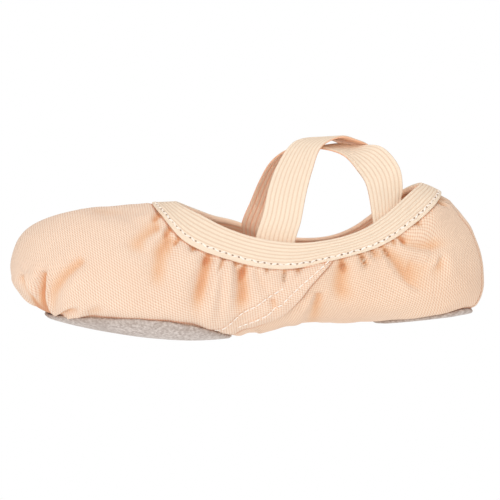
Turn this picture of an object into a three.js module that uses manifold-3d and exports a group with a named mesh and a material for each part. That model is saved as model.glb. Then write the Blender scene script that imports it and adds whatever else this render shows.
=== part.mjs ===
// A split-sole canvas ballet slipper that stands empty on its two suede patches.
// Millimetres, +Z up, toe towards -X, heel towards +X, the floor at Z = 0, the middle of the length at X = 0.
import * as THREE from "three";
import { mergeVertices } from "three/addons/utils/BufferGeometryUtils.js";
import Module from "manifold-3d";

// Driving sizes
const LENGTH = 236;
const GAP = 0.3;
const CANVAS_THICK = 1.3;
const SUEDE_THICK = 1.8;
const SOCK_THICK = 1.2;
const BINDING_THICK = 1.0;
const STRAP_THICK = 1.2;
const STRAP_WIDTH = 19;
const STRAP_TUCK = 10;
const TUCK_GAP = 1;
const OPENING_MARGIN = 8;

// Mesh steps
const STEPS_PER_ROW = 2;
const AROUND = 32;
const CURVE_STEPS = 48;
const OUTLINE_STEPS = 36;
const STRAP_STEPS = 26;
const STRAP_LINES = 5;
const HALVINGS = 40;
const SLOPE_STEP = 0.01;
const SAME_POINT = 1e-4;

// Reach of the cutting prisms past the shoe
const SIDE_REACH = 60;
const ABOVE = 110;
const BELOW = -10;
const SOLE_CUT_TOP = 32;

// Slack of the far collar: middle of each sag along the shoe, its width and its depth. A rise is negative.
const FAR_SLACK = [
  { middle: 46, wide: 25, deep: 3.8 },
  { middle: -3, wide: 12, deep: -2.6 },
];
// It grows from the centre plane to the far wall and up that wall, and ends part way up the straps.
const SLACK_ACROSS = { from: 0, full: 18 };
const SLACK_UP = { from: 16, full: 40 };
const SLACK_END = { from: 56, none: 82 };

// Sections of the last, from the toe tip to the back of the heel. Each is two half superellipses that meet
// at the widest height: low is the power of the lower half, high the power of the upper half. Over the foot
// opening the top is the closed form that the collar line cuts.
const LAST = [
  { at: 0, bottom: 44.5, top: 44.5, half: 0, widest: 44.5, low: 2, high: 2 },
  { at: 1.6, bottom: 36, top: 52.5, half: 9.5, widest: 44, low: 2, high: 2 },
  { at: 6, bottom: 28.6, top: 59.6, half: 18, widest: 42.5, low: 2.1, high: 2 },
  { at: 14, bottom: 21.4, top: 65, half: 25.5, widest: 39, low: 2.2, high: 2 },
  { at: 27, bottom: 16, top: 68.8, half: 32.3, widest: 34, low: 2.3, high: 2 },
  { at: 45, bottom: 10.6, top: 70.6, half: 37, widest: 29, low: 2.3, high: 2 },
  { at: 66, bottom: 5.6, top: 69.4, half: 39, widest: 26, low: 2.4, high: 2 },
  { at: 90, bottom: 2.1, top: 68.6, half: 38.2, widest: 24, low: 2.4, high: 1.9 },
  { at: 116, bottom: 1.8, top: 71, half: 35.2, widest: 23, low: 2.2, high: 1.9 },
  { at: 142, bottom: 3.4, top: 74, half: 32.4, widest: 23.5, low: 2.4, high: 2 },
  { at: 167, bottom: 2, top: 74, half: 30.6, widest: 24, low: 2.7, high: 2.1 },
  { at: 190, bottom: 1.8, top: 71, half: 29.4, widest: 24, low: 3.2, high: 2.1 },
  { at: 208, bottom: 1.8, top: 66.8, half: 27, widest: 24, low: 3.2, high: 2 },
  { at: 220, bottom: 1.9, top: 59, half: 22, widest: 24, low: 2.8, high: 1.9 },
  { at: 229, bottom: 3, top: 47, half: 14.5, widest: 23.4, low: 2.2, high: 2 },
  { at: 234.3, bottom: 10.6, top: 33.6, half: 7.2, widest: 22.8, low: 2, high: 2 },
  { at: 236, bottom: 22.5, top: 22.5, half: 0, widest: 22.5, low: 2, high: 2 },
];

// The collar from the side: the top edge of the binding, from above the throat to above the heel.
const COLLAR = [
  { x: -49, z: 79 },
  { x: -38.5, z: 72 },
  { x: -30, z: 67.2 },
  { x: -21, z: 62.3 },
  { x: -10, z: 55.9 },
  { x: 4, z: 50.2 },
  { x: 22, z: 46.3 },
  { x: 40, z: 46.4 },
  { x: 55, z: 49.4 },
  { x: 67, z: 55 },
  { x: 78, z: 62 },
  { x: 84, z: 65.4 },
  { x: 90, z: 67.6 },
  { x: 97, z: 70 },
];

// The lower edge of the binding from the side, over the same length.
const BINDING_FOOT = [
  { x: -52, z: 82 },
  { x: -45.8, z: 70 },
  { x: -41.5, z: 64.4 },
  { x: -37, z: 57.6 },
  { x: -32, z: 52 },
  { x: -25, z: 47.2 },
  { x: -15, z: 42.7 },
  { x: -2, z: 37.8 },
  { x: 10, z: 34.8 },
  { x: 22, z: 34 },
  { x: 36, z: 35.6 },
  { x: 50, z: 37.6 },
  { x: 62, z: 40.2 },
  { x: 72, z: 44.2 },
  { x: 81, z: 49.2 },
  { x: 90, z: 54.6 },
  { x: 98, z: 60.6 },
  { x: 106, z: 68 },
];

// Plan outlines: an egg from front to rear that is widest at wide, with a superellipse power for each half.
const FOREFOOT_PATCH = { front: -104, wide: -50, rear: -11.5, half: 36, frontPower: 2, rearPower: 2.4 };
const HEEL_PATCH = { front: 60, wide: 90, rear: 110.3, half: 16.4, frontPower: 2.1, rearPower: 2.2 };
const SOCK = { front: -107, wide: -46, rear: 109, half: 29, frontPower: 2.3, rearPower: 3 };

// Straps: side is where the front end leaves the collar, -1 near and 1 far, and frontX and rearX are the
// places of the two ends along the collar. rearTurn is the share of the width that lies along the shoe at the
// rear end, which turns in with the collar. The rows follow the middle line over the foot, and toHeel, toFar
// and toTop are the direction that the strap faces there.
const STRAP_OVER = {
  side: -1,
  frontX: 13,
  rearX: 74,
  rearTurn: 0.55,
  rows: [
    { x: 17, y: -23.6, z: 58.6, toHeel: 0, toFar: -0.94, toTop: 0.34 },
    { x: 21, y: -19.8, z: 71, toHeel: 0, toFar: -0.69, toTop: 0.73 },
    { x: 26.2, y: -14.2, z: 82, toHeel: 0, toFar: -0.41, toTop: 0.91 },
    { x: 34, y: -7.8, z: 92.4, toHeel: 0, toFar: -0.18, toTop: 0.98 },
    { x: 46, y: 0.4, z: 94.7, toHeel: 0, toFar: 0.02, toTop: 1 },
    { x: 54, y: 5.5, z: 92.4, toHeel: 0.1, toFar: 0.04, toTop: 1 },
    { x: 60.4, y: 10, z: 88.4, toHeel: 0.35, toFar: 0.25, toTop: 0.9 },
    { x: 66, y: 13, z: 81.6, toHeel: 0.75, toFar: 0.4, toTop: 0.5 },
    { x: 70, y: 14.4, z: 73.6, toHeel: 0.9, toFar: 0.4, toTop: 0.2 },
    { x: 72, y: 14.6, z: 65.4, toHeel: 0.8, toFar: 0.6, toTop: 0 },
  ],
};
const STRAP_UNDER = {
  side: 1,
  frontX: 9.3,
  rearX: 69.8,
  rearTurn: 0.85,
  rows: [
    { x: 13.8, y: 23.6, z: 60, toHeel: 0, toFar: 0.92, toTop: 0.39 },
    { x: 18.5, y: 19.8, z: 71.8, toHeel: 0, toFar: 0.68, toTop: 0.73 },
    { x: 24, y: 14.2, z: 82.4, toHeel: 0, toFar: 0.41, toTop: 0.91 },
    { x: 31.4, y: 7.8, z: 89, toHeel: 0, toFar: 0.2, toTop: 0.98 },
    { x: 44.5, y: -0.4, z: 90.4, toHeel: 0, toFar: -0.02, toTop: 1 },
    { x: 55.4, y: -5.6, z: 87.4, toHeel: 0.05, toFar: -0.22, toTop: 0.97 },
    { x: 64, y: -9.6, z: 82.6, toHeel: 0.1, toFar: -0.85, toTop: 0.5 },
    { x: 69.2, y: -12.4, z: 74.6, toHeel: 0.1, toFar: -1, toTop: 0.1 },
    { x: 70.2, y: -13.4, z: 65.4, toHeel: 0.35, toFar: -0.93, toTop: 0 },
  ],
};

const wasm = await Module();
wasm.setup();

// Superellipse radius in the direction of an angle's cosine and sine
function reach(cosine, sine, power) {
  return (Math.abs(cosine) ** power + Math.abs(sine) ** power) ** (-1 / power);
}

// Catmull-Rom value between b and c at the fraction f
function spline(a, b, c, d, f) {
  const slopeB = (c - a) / 2;
  const slopeC = (d - b) / 2;
  const bend = 2 * (b - c) + slopeB + slopeC;
  return b + f * (slopeB + f * (3 * (c - b) - 2 * slopeB - slopeC + f * bend));
}

// Past either tip the last's sections run on turned over, so that the surface closes round.
function turnedOver(row) {
  return { ...row, half: -row.half, bottom: row.top, top: row.bottom };
}
const LAST_ROWS = [turnedOver(LAST[1]), ...LAST, turnedOver(LAST[LAST.length - 2])];
const LAST_END = LAST.length - 1;

// Section of the last at a row number that may lie between rows
function section(row) {
  const first = Math.min(Math.max(Math.floor(row), 0), LAST_END - 1);
  const [a, b, c, d] = LAST_ROWS.slice(first, first + 4);
  const made = {};
  for (const name of Object.keys(LAST[0])) {
    made[name] = spline(a[name], b[name], c[name], d[name], row - first);
  }
  return made;
}

// Point of the last at a row number and an angle in its section: 0 is the far side, a quarter turn the top
function lastPoint(row, angle) {
  const s = section(row);
  const cosine = Math.cos(angle);
  const sine = Math.sin(angle);
  const r = reach(cosine, sine, sine < 0 ? s.low : s.high);
  const height = sine < 0 ? s.widest - s.bottom : s.top - s.widest;
  return new THREE.Vector3(s.at - LENGTH / 2, s.half * r * cosine, s.widest + height * r * sine);
}

// Outward direction of the last at that point
function lastNormal(row, angle) {
  const low = Math.max(row - SLOPE_STEP, 0);
  const high = Math.min(row + SLOPE_STEP, LAST_END);
  const along = lastPoint(high, angle).sub(lastPoint(low, angle));
  const round = lastPoint(row, angle + SLOPE_STEP).sub(lastPoint(row, angle - SLOPE_STEP));
  return round.cross(along).normalize();
}

function solid(points, triangles) {
  const vertProperties = new Float32Array(points.flatMap((p) => [p.x, p.y, p.z]));
  const triVerts = new Uint32Array(triangles.flat());
  return new wasm.Manifold(new wasm.Mesh({ numProp: 3, vertProperties, triVerts }));
}

// Closed form parallel to the last, with its points kept at or above the given floor
function form(offset, floor = -Infinity) {
  const rings = LAST_END * STEPS_PER_ROW - 1;
  const points = [];
  for (let i = 1; i <= rings; i += 1) {
    for (let j = 0; j < AROUND; j += 1) {
      const row = i / STEPS_PER_ROW;
      const angle = (j / AROUND) * 2 * Math.PI;
      const point = lastPoint(row, angle).addScaledVector(lastNormal(row, angle), offset);
      point.z = Math.max(point.z, floor);
      points.push(point);
    }
  }
  const toe = points.push(lastPoint(0, 0).add(new THREE.Vector3(-offset, 0, 0))) - 1;
  const heel = points.push(lastPoint(LAST_END, 0).add(new THREE.Vector3(offset, 0, 0))) - 1;
  const index = (ring, j) => ring * AROUND + (j % AROUND);
  const triangles = [];
  for (let j = 0; j < AROUND; j += 1) {
    triangles.push([toe, index(0, j + 1), index(0, j)]);
    triangles.push([heel, index(rings - 1, j), index(rings - 1, j + 1)]);
    for (let i = 0; i + 1 < rings; i += 1) {
      triangles.push([index(i, j), index(i, j + 1), index(i + 1, j)]);
      triangles.push([index(i + 1, j), index(i, j + 1), index(i + 1, j + 1)]);
    }
  }
  return solid(points, triangles);
}

function prism(outline, depth, place) {
  const geometry = new THREE.ExtrudeGeometry(new THREE.Shape(outline), { depth, bevelEnabled: false });
  place(geometry);
  geometry.deleteAttribute("normal");
  geometry.deleteAttribute("uv");
  const merged = mergeVertices(geometry, SAME_POINT);
  const vertProperties = new Float32Array(merged.attributes.position.array);
  const triVerts = new Uint32Array(merged.index.array);
  return new wasm.Manifold(new wasm.Mesh({ numProp: 3, vertProperties, triVerts }));
}

// Prism of a side-view outline through the whole width
function sidePrism(outline) {
  return prism(outline, 2 * SIDE_REACH, (g) => g.rotateX(Math.PI / 2).translate(0, SIDE_REACH, 0));
}

// Prism of a plan outline through the lower part of the shoe
function planPrism(outline) {
  return prism(outline, SOLE_CUT_TOP - BELOW, (g) => g.translate(0, 0, BELOW));
}

function sideCurve(rows) {
  return new THREE.SplineCurve(rows.map((row) => new THREE.Vector2(row.x, row.z)));
}
const collarCurve = sideCurve(COLLAR);
const footCurve = sideCurve(BINDING_FOOT);

// The collar line moved down by a distance, square to itself
function collarLine(down) {
  const points = [];
  for (let i = 0; i <= CURVE_STEPS; i += 1) {
    const t = i / CURVE_STEPS;
    const tangent = collarCurve.getTangent(t);
    points.push(collarCurve.getPoint(t).add(new THREE.Vector2(tangent.y, -tangent.x).multiplyScalar(down)));
  }
  return points;
}

// Everything above the collar line moved down by a distance
function aboveCollar(down) {
  const line = collarLine(down);
  const first = line[0];
  const last = line[line.length - 1];
  return sidePrism([...line, new THREE.Vector2(last.x, ABOVE), new THREE.Vector2(first.x, ABOVE)]);
}

// The strip below the collar line moved down by a distance, as far as the binding's foot moved down by
// another
function collarStrip(from, pastFoot) {
  const lowered = (point) => new THREE.Vector2(point.x, point.y - pastFoot);
  const foot = footCurve.getPoints(CURVE_STEPS).map(lowered);
  return sidePrism([...foot, ...collarLine(from).reverse()]);
}

// Plan outline of an egg, drawn in by an inset
function egg({ front, wide, rear, half, frontPower, rearPower }, inset = 0) {
  const points = [];
  for (let i = 0; i < OUTLINE_STEPS; i += 1) {
    const angle = (i / OUTLINE_STEPS) * 2 * Math.PI;
    const cosine = Math.cos(angle);
    const sine = Math.sin(angle);
    const r = reach(cosine, sine, cosine < 0 ? frontPower : rearPower);
    const length = (cosine < 0 ? wide - front : rear - wide) - inset;
    points.push(new THREE.Vector2(wide + length * r * cosine, (half - inset) * r * sine));
  }
  return points;
}

function makeUpper() {
  let upper = form(0).subtract(form(-CANVAS_THICK));
  upper = upper.subtract(aboveCollar(BINDING_THICK + GAP));
  for (const patch of [FOREFOOT_PATCH, HEEL_PATCH]) {
    upper = upper.subtract(planPrism(egg(patch, OPENING_MARGIN)));
  }
  return upper;
}

function makeSole(patch) {
  const shell = form(GAP + SUEDE_THICK, 0).subtract(form(GAP));
  return shell.intersect(planPrism(egg(patch)));
}

function makeInsole() {
  const shell = form(-CANVAS_THICK - GAP).subtract(form(-CANVAS_THICK - GAP - SOCK_THICK));
  return shell.intersect(planPrism(egg(SOCK)));
}

// Elastic folded over the collar edge: a leg outside the canvas, a leg inside it and the fold above
function makeBinding() {
  const outside = GAP + BINDING_THICK;
  const folded = form(outside).subtract(form(-CANVAS_THICK - outside));
  const slot = form(GAP).subtract(form(-CANVAS_THICK - GAP));
  const band = folded.intersect(collarStrip(0, 0));
  return band.subtract(slot.intersect(collarStrip(BINDING_THICK, OPENING_MARGIN)));
}

// Row number of the last at a place along the shoe
function rowAt(x) {
  let low = 0;
  let high = LAST_END;
  for (let i = 0; i < HALVINGS; i += 1) {
    const middle = (low + high) / 2;
    if (section(middle).at - LENGTH / 2 < x) {
      low = middle;
    } else {
      high = middle;
    }
  }
  return low;
}

// Point inside the shoe's wall, at a side-view place and a depth under the last's surface
function wallPoint(x, z, side, depth) {
  const row = rowAt(x);
  const s = section(row);
  const rise = (z - s.widest) / (s.top - s.widest);
  const y = s.half * (1 - rise ** s.high) ** (1 / s.high);
  const angle = Math.atan2(rise, y / s.half);
  const normal = lastNormal(row, angle);
  return new THREE.Vector3(x, side * (y - depth / normal.y), z);
}

// Height of the collar line at a place along the shoe
function collarHeight(x) {
  const line = collarLine(0);
  const next = line.findIndex((point) => point.x > x);
  const before = line[next - 1];
  const share = (x - before.x) / (line[next].x - before.x);
  return before.y + share * (line[next].y - before.y);
}

// One lengthwise line of a strap, across at -1 to 1 of its half width, tucked inside the collar at both ends
function strapLine({ side, frontX, rearX, rearTurn, rows }, across) {
  const shift = (across * STRAP_WIDTH) / 2;
  const depth = CANVAS_THICK + GAP + BINDING_THICK + TUCK_GAP + STRAP_THICK / 2;
  const tucked = (endX, endSide, turn) => {
    const x = endX - side * shift * turn;
    const place = (down) => wallPoint(x, collarHeight(x) - down, endSide, depth);
    return [place(STRAP_TUCK), place(STRAP_TUCK / 2), place(0)];
  };
  const front = tucked(frontX, side, 1);
  const rear = tucked(rearX, -side, rearTurn).reverse();
  const middle = rows.map((row) => new THREE.Vector3(row.x, row.y, row.z));
  const free = middle.map((point, i) => {
    const before = middle[Math.max(i - 1, 0)];
    const after = middle[Math.min(i + 1, middle.length - 1)];
    const outward = new THREE.Vector3(rows[i].toHeel, rows[i].toFar, rows[i].toTop);
    const width = after.clone().sub(before).cross(outward).normalize();
    return point.clone().addScaledVector(width, shift);
  });
  return new THREE.CatmullRomCurve3([...front, ...free, ...rear], false, "centripetal");
}

// Ribbon of the strap's thickness about its lengthwise lines
function makeStrap(rows) {
  const lines = [];
  for (let i = 0; i < STRAP_LINES; i += 1) {
    lines.push(strapLine(rows, (2 * i) / (STRAP_LINES - 1) - 1).getPoints(STRAP_STEPS));
  }
  const top = [];
  const under = [];
  for (let step = 0; step <= STRAP_STEPS; step += 1) {
    for (let i = 0; i < STRAP_LINES; i += 1) {
      const before = lines[i][Math.max(step - 1, 0)];
      const after = lines[i][Math.min(step + 1, STRAP_STEPS)];
      const left = lines[Math.max(i - 1, 0)][step];
      const right = lines[Math.min(i + 1, STRAP_LINES - 1)][step];
      const normal = right.clone().sub(left).cross(after.clone().sub(before)).normalize();
      top.push(lines[i][step].clone().addScaledVector(normal, STRAP_THICK / 2));
      under.push(lines[i][step].clone().addScaledVector(normal, -STRAP_THICK / 2));
    }
  }
  const count = top.length;
  const triangles = [];
  const quad = (a, b, c, d) => triangles.push([a, b, c], [a, c, d]);
  for (let step = 0; step < STRAP_STEPS; step += 1) {
    const row = step * STRAP_LINES;
    const next = row + STRAP_LINES;
    for (let i = 0; i + 1 < STRAP_LINES; i += 1) {
      quad(row + i, row + i + 1, next + i + 1, next + i);
      quad(count + row + i, count + next + i, count + next + i + 1, count + row + i + 1);
    }
    const edge = STRAP_LINES - 1;
    quad(row, next, count + next, count + row);
    quad(row + edge, count + row + edge, count + next + edge, next + edge);
  }
  const end = STRAP_STEPS * STRAP_LINES;
  for (let i = 0; i + 1 < STRAP_LINES; i += 1) {
    quad(i, count + i, count + i + 1, i + 1);
    quad(end + i, end + i + 1, count + end + i + 1, count + end + i);
  }
  return solid([...top, ...under], triangles);
}

// Colour, roughness and metalness of each material
const MATERIALS = {
  canvas: { color: 0xf6d3b3, roughness: 0.9, metalness: 0 },
  suede: { color: 0xbdb2a8, roughness: 0.95, metalness: 0 },
  sock: { color: 0xf0d2b6, roughness: 0.9, metalness: 0 },
  elastic: { color: 0xf8dcc0, roughness: 0.75, metalness: 0 },
};

const PIECES = [
  { name: "upper", made: makeUpper(), material: "canvas" },
  { name: "forefoot_sole", made: makeSole(FOREFOOT_PATCH), material: "suede" },
  { name: "heel_sole", made: makeSole(HEEL_PATCH), material: "suede" },
  { name: "insole", made: makeInsole(), material: "sock" },
  { name: "collar_binding", made: makeBinding(), material: "elastic" },
  { name: "strap_over", made: makeStrap(STRAP_OVER), material: "elastic" },
  { name: "strap_under", made: makeStrap(STRAP_UNDER), material: "elastic" },
];

// Drop of the far collar at a point of the shoe
function farDrop(x, y, z) {
  let drop = 0;
  for (const { middle, wide, deep } of FAR_SLACK) {
    drop += deep * Math.exp(-(((x - middle) / wide) ** 2));
  }
  const { smoothstep } = THREE.MathUtils;
  const across = smoothstep(y, SLACK_ACROSS.from, SLACK_ACROSS.full);
  const up = smoothstep(z, SLACK_UP.from, SLACK_UP.full);
  return drop * across * up * (1 - smoothstep(z, SLACK_END.from, SLACK_END.none));
}

function piece({ name, made, material }) {
  const { vertProperties, triVerts } = made.getMesh();
  for (let i = 0; i < vertProperties.length; i += 3) {
    const [x, y, z] = vertProperties.subarray(i, i + 3);
    vertProperties[i + 2] = z - farDrop(x, y, z);
  }
  const geometry = new THREE.BufferGeometry();
  geometry.setAttribute("position", new THREE.BufferAttribute(vertProperties, 3));
  geometry.setIndex(new THREE.BufferAttribute(triVerts, 1));
  geometry.computeVertexNormals();
  const mesh = new THREE.Mesh(geometry, new THREE.MeshStandardMaterial(MATERIALS[material]));
  mesh.name = name;
  return mesh;
}

const shoe = new THREE.Group();
for (const entry of PIECES) {
  shoe.add(piece(entry));
}

export default shoe;
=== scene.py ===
"""Looks of a split-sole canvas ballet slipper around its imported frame. Sizes are in millimetres of the shoe:
toe towards -X, heel towards +X, near side towards -Y, floor at Z = 0. Meshes are made in metres."""

import math

import bmesh
import bpy
import numpy as np
from mathutils import Matrix, Vector


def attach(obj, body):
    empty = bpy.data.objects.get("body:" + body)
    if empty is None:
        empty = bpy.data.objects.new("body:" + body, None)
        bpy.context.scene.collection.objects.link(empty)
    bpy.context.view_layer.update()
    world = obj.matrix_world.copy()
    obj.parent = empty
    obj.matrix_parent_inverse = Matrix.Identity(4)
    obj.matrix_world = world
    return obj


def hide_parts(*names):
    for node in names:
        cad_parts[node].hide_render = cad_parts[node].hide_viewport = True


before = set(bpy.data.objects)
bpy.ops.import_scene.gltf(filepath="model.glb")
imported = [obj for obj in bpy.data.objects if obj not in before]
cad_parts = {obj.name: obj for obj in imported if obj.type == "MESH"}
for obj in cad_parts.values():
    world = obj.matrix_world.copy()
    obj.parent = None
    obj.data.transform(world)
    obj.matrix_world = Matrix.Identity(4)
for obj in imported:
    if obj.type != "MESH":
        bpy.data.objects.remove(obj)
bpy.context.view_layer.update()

MM = 0.001

# Driving sizes
LENGTH = 236.0
CANVAS_THICK = 1.1
LAP = 2.0
SUEDE_GAP = 0.3  # from the last to a patch
SUEDE_THICK = 1.7
SOCK_TOP = -2.7  # out from the last
SOCK_UNDER = -1.65  # out from the last
BAND_WIDTH = 14.0
BAND_OUT = 1.25  # out from the last
BAND_IN = -2.5  # out from the last
BAND_RIBS = 8
STRAP_THICK = 1.2
STRAP_WIDTH = 19.0
STRAP_TUCK = 10.0
STRAP_RIBS = 9
STRAP_DEPTH = 4.2  # inside the last at the tucked ends
CANVAS_TOP = 0.35  # share across the band where the canvas ends
CLOTH_FLOOR = 0.4  # least height of the canvas
SUEDE_FLOOR = 0.5  # least height of a patch's inner face
WEAVE_PITCH = 1.27
KNIT_LONG = 0.75
KNIT_WIDE = 0.6
ROW_MARGIN = 0.03  # share of a row at each tip that a pole closes
UNDERLAP = 8.0  # of the rear panel under the front one
FRONT_MIDDLE = -50.0  # where lengths along the front panel start
REAR_MIDDLE = 60.0  # where lengths along the rear panel start

# Stitches: the band's row lies at a share across it and turns to and fro by degrees. A needle mark, a dark
# mark of painted shade for a needle hole, has a length and a radius.
BAND_STITCH = {"share": 0.83, "pitch": 3.2, "length": 2.6, "radius": 0.44, "turn": 22}
ARCH_STITCH = {"pitch": 3.5, "length": 2.8, "radius": 0.36}
NEEDLE_MARK = (1.0, 0.36)

# Sections of the last: at, bottom, top, half width, widest height, lower and upper superellipse powers
LAST = np.array([
    (0, 44.5, 44.5, 0, 44.5, 2, 2),
    (1.6, 36, 52.5, 9.5, 44, 2, 2),
    (6, 28.6, 59.6, 18, 42.5, 2.1, 2),
    (14, 21.4, 65, 25.5, 39, 2.2, 2),
    (27, 16, 68.8, 32.3, 34, 2.3, 2),
    (45, 10.6, 70.6, 37, 29, 2.3, 2),
    (66, 5.6, 69.4, 39, 26, 2.4, 2),
    (90, 2.1, 68.6, 38.2, 24, 2.4, 1.9),
    (116, 1.8, 71, 35.2, 23, 2.2, 1.9),
    (142, 3.4, 74, 32.4, 23.5, 2.4, 2),
    (167, 2, 74, 30.6, 24, 2.7, 2.1),
    (190, 1.8, 71, 29.4, 24, 3.2, 2.1),
    (208, 1.8, 66.8, 27, 24, 3.2, 2),
    (220, 1.9, 59, 22, 24, 2.8, 1.9),
    (229, 3, 47, 14.5, 23.4, 2.2, 2),
    (234.3, 10.6, 33.6, 7.2, 22.8, 2, 2),
    (236, 22.5, 22.5, 0, 22.5, 2, 2),
], float)

# Top edge of the band from the side: x, z
COLLAR = np.array([
    (-49, 79), (-38.5, 72), (-30, 67.2), (-21, 62.3), (-10, 55.9), (4, 50.2), (22, 46.3), (40, 46.4),
    (55, 49.4), (67, 55), (78, 62), (84, 65.4), (90, 67.6), (97, 70),
], float)

# Lower edge of the band from the side: x, z
BAND_FOOT = np.array([
    (-52, 82), (-45.8, 70), (-41.5, 64.4), (-37, 57.6), (-32, 52), (-25, 47.2), (-15, 42.7), (-2, 37.8),
    (10, 34.8), (22, 34), (36, 35.6), (50, 37.6), (62, 40.2), (72, 44.2), (81, 49.2), (90, 54.6), (98, 60.6),
    (106, 68),
], float)

# Edge of the front panel from the side: x, z, from under the forefoot patch up to the band
ARCH_SEAM = np.array([
    (-42, -6), (-26, 3), (-11, 5), (-3.5, 6.4), (4, 9), (12, 12.2), (17, 15), (22.5, 19.6),
    (28, 25.6), (33, 30.2), (37, 33.6), (41, 37.5), (45, 43), (51, 54),
], float)

# Stitch rows of the arch seam from the side: x, z
ARCH_STITCHES = [
    [(38, 36.4), (31.5, 31.8), (24, 26.6), (18.5, 22.4), (13.5, 18.8), (7, 15), (1.5, 12.4), (-4.5, 9.6),
     (-8.5, 7.8)],
    [(15.5, 25.5), (6.5, 21.4), (-0.5, 17.6), (-7.5, 13.6), (-12, 10.6), (-17.5, 8.8), (-21.5, 7.8)],
]

# Plan outlines: front, wide, rear, half width, front and rear superellipse powers
FOREFOOT_PATCH = (-102.8, -50, -11.5, 36, 2, 2.4)
HEEL_PATCH = (60, 90, 110.3, 16.4, 2.1, 2.2)
SOCK = (-107, -46, 109, 29, 2.3, 3)

# Straps: side of the front end, its place and the rear end's place along the collar, the share of the width
# that lies along the shoe at the rear end, and the middle line over the foot as x, y, z and the way it faces
STRAP_OVER = (-1, 13, 74, 0.55, [
    (17, -23.6, 58.6, 0, -0.94, 0.34),
    (21, -19.8, 71, 0, -0.69, 0.73),
    (26.2, -14.2, 82, 0, -0.41, 0.91),
    (34, -7.8, 92.4, 0, -0.18, 0.98),
    (46, 0.4, 94.7, 0, 0.02, 1),
    (54, 5.5, 92.4, 0.1, 0.04, 1),
    (60.4, 10, 88.4, 0.35, 0.25, 0.9),
    (66, 13, 81.6, 0.75, 0.4, 0.5),
    (70, 14.4, 73.6, 0.9, 0.4, 0.2),
    (72, 14.6, 65.4, 0.8, 0.6, 0),
])
STRAP_UNDER = (1, 9.3, 69.8, 0.85, [
    (13.8, 23.6, 60, 0, 0.92, 0.39),
    (18.5, 19.8, 71.8, 0, 0.68, 0.73),
    (24, 14.2, 82.4, 0, 0.41, 0.91),
    (31.4, 7.8, 89, 0, 0.2, 0.98),
    (44.5, -0.4, 90.4, 0, -0.02, 1),
    (55.4, -5.6, 87.4, 0.05, -0.22, 0.97),
    (64, -9.6, 82.6, 0.1, -0.85, 0.5),
    (69.2, -12.4, 74.6, 0.1, -1, 0.1),
    (70.2, -13.4, 65.4, 0.35, -0.93, 0),
])

# Folds on the near side: half width, depth (a ridge is negative), lean to one side, share of the depth left
# at the end, line from the side as x, z
NEAR_FOLDS = [
    (5.2, 2.8, 0.1, 0, [(-42, 60), (-46, 58.8), (-51, 55.5), (-57, 50.5), (-61, 47)]),
    (2, -1.6, 0, 0, [(-41, 57.5), (-48, 53.5), (-52.5, 50)]),
    (5, 2.7, 0.2, 0.1, [(-37.5, 56.5), (-41.5, 51), (-44.5, 44), (-46, 36), (-48, 28)]),
    (3.6, -1.4, 0, 0.2, [(-33.5, 50), (-37, 39), (-38.5, 27)]),
    (3.6, 3, 0.1, 0.3, [(-20, 45.5), (-23, 38.5), (-25.5, 31), (-28, 24), (-29.5, 16.5)]),
    (2.6, -1.3, 0, 0.3, [(-17.5, 41.5), (-21, 23), (-22.5, 10)]),
    (2, 1.6, 0, 0.3, [(-13.5, 41), (-16.5, 23), (-20, 10)]),
    (3.2, -1.5, 0, 0.4, [(-11.5, 39), (-14, 12)]),
    (4.2, 2.8, -0.1, 0.4, [(-5.5, 38), (-5.5, 26.5), (-8, 19), (-10, 12.5)]),
    (2.4, 1.8, 0, 0.2, [(1.5, 36), (4, 28), (5.5, 21)]),
    (1.5, 1.8, 0, 0.3, [(8.5, 20.5), (9, 15)]),
    (5, 2.6, 0.1, 0.2, [(44.5, 35), (42, 24), (43, 16.5), (45, 10.5)]),
    (3, 2, -0.2, 0.9, [(31, 22), (29, 14.5), (28.5, 5)]),
    (3.4, 1.6, 0, 0.8, [(31.5, 21.5), (33, 14), (36, 5)]),
    (2.2, -1.6, 0, 0.6, [(29.5, 21), (25, 15.5), (20.5, 7.5)]),
    (3, -1.6, 0, 0.5, [(0, 4), (8, 5), (16, 8)]),
    (3.2, 2.4, 0.3, 0.1, [(73.5, 44.5), (78, 40.6), (84, 38.8), (94, 38.6), (103, 39.4)]),
    (1.8, -1.2, 0, 0, [(77, 37), (87, 33.5), (91, 31)]),
    (1.8, 1.8, 0.3, 0.3, [(93, 33), (93, 29.5), (90.5, 26)]),
    (3.6, 2.6, 0.6, 0.2, [(66, 41), (67, 37), (70.5, 31), (73.5, 26), (77, 21.5), (81, 19), (88, 18.5)]),
    (5, 1.2, 0, 0.6, [(76, 31), (88, 28)]),
    (1.8, 2, 0, 0, [(54.5, 38), (57.5, 29)]),
    (2, 2, 0, 0, [(60, 41), (65, 32.5)]),
    (2, 3.2, -0.5, 0.9, [(-111.8, 42), (-110, 35), (-107.6, 28), (-104.4, 20)]),
    (1.9, 4.2, -0.55, 0.9, [(-100, 43.6), (-101.8, 37), (-103, 31), (-102.6, 26.5), (-99.8, 19)]),
    (3, 2.4, -0.2, 0.6, [(-80.5, 48.5), (-89, 42.5), (-94.5, 37), (-97.5, 32), (-99, 24)]),
    (0.9, 2.4, 0, 0.6, [(-96, 19.5), (-94.5, 21), (-91.5, 23), (-87, 23.5)]),
    (2, -1.6, 0, 0.5, [(-91.5, 20.5), (-84, 20.5)]),
    (2.4, 1.2, 0, 0, [(-82, 21.5), (-72, 24.5)]),
    (2.4, 1.3, -0.3, 0.5, [(-76, 70.5), (-67, 69), (-57.5, 67.5), (-45, 66)]),
    (1.6, -0.8, 0, 0.5, [(-54, 64.5), (-45.5, 66)]),
]

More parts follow.
